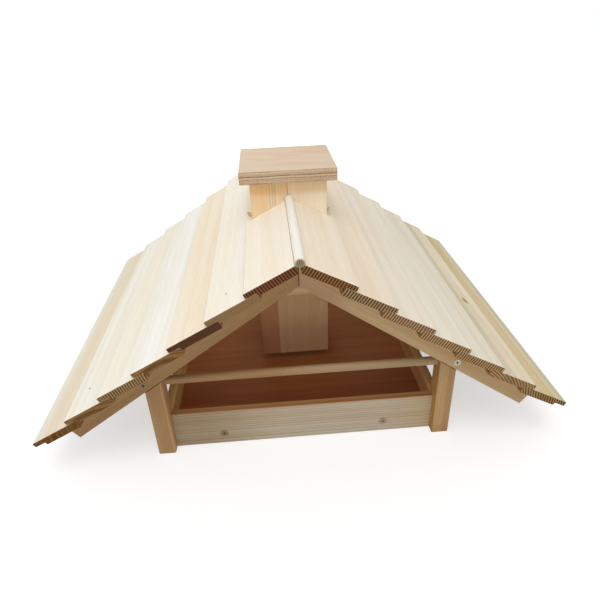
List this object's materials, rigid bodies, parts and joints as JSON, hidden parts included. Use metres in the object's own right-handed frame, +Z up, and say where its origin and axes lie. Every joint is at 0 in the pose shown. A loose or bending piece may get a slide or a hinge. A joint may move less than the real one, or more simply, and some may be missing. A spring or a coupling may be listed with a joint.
{
  "type": "bird table",
  "caption": "Wooden feeding house: a tray on corner posts under a steep lapped board roof, with a seed hopper rising through it as a chimney and closed by a lift-off cap.",
  "frame": {"origin": "centre of the footprint at the level of the feet", "axes": "+X to the right of someone facing the gable with the rafter screws, +Y to the back along the ridge, +Z up"},
  "size_m": [0.5912, 0.464, 0.2947],
  "materials": {
    "planed_pine": "planed, raw",
    "roof_board": "planed, raw",
    "beech_dowel": "turned, raw",
    "plywood": "sanded, raw",
    "zinc_plated_steel": "zinc plated"
  },
  "bodies": {
    "house": {"post_front_left": "planed_pine", "post_front_right": "planed_pine", "post_back_left": "planed_pine", "post_back_right": "planed_pine", "tray_board_front": "planed_pine", "tray_board_back": "planed_pine", "tray_board_left": "planed_pine", "tray_board_right": "planed_pine", "tray_floor": "plywood", "perch_front": "beech_dowel", "perch_back": "beech_dowel", "rafter_front_left": "planed_pine", "rafter_front_right": "planed_pine", "rafter_back_left": "planed_pine", "rafter_back_right": "planed_pine", "purlin_left": "planed_pine", "purlin_right": "planed_pine", "apex_gusset_front": "plywood", "apex_gusset_back": "plywood", "roof_board_left_1_front": "roof_board", "roof_board_left_1_back": "roof_board", "roof_board_left_2": "roof_board", "roof_board_left_3": "roof_board", "roof_board_left_4": "roof_board", "roof_board_left_5": "roof_board", "roof_board_left_6": "roof_board", "roof_board_left_7": "roof_board", "roof_board_right_1_front": "roof_board", "roof_board_right_1_back": "roof_board", "roof_board_right_2": "roof_board", "roof_board_right_3": "roof_board", "roof_board_right_4": "roof_board", "roof_board_right_5": "roof_board", "roof_board_right_6": "roof_board", "roof_board_right_7": "roof_board", "ridge_dowel_front": "beech_dowel", "ridge_dowel_back": "beech_dowel", "hopper_board_front": "planed_pine", "hopper_board_back": "planed_pine", "hopper_board_left": "planed_pine", "hopper_board_right": "planed_pine", "tray_screw_front_left": "zinc_plated_steel", "tray_screw_front_right": "zinc_plated_steel", "tray_screw_back_left": "zinc_plated_steel", "tray_screw_back_right": "zinc_plated_steel", "rafter_screw_front_left": "zinc_plated_steel", "rafter_screw_front_right": "zinc_plated_steel", "rafter_screw_back_left": "zinc_plated_steel", "rafter_screw_back_right": "zinc_plated_steel"},
    "cap": {"cap_plate": "plywood", "cap_block": "planed_pine"}
  },
  "joints": [
    {"name": "cap_lift", "type": "slide", "parent": "house", "child": "cap", "axis": [0, 0, 1], "range_m": [0, 0.1]}
  ]
}
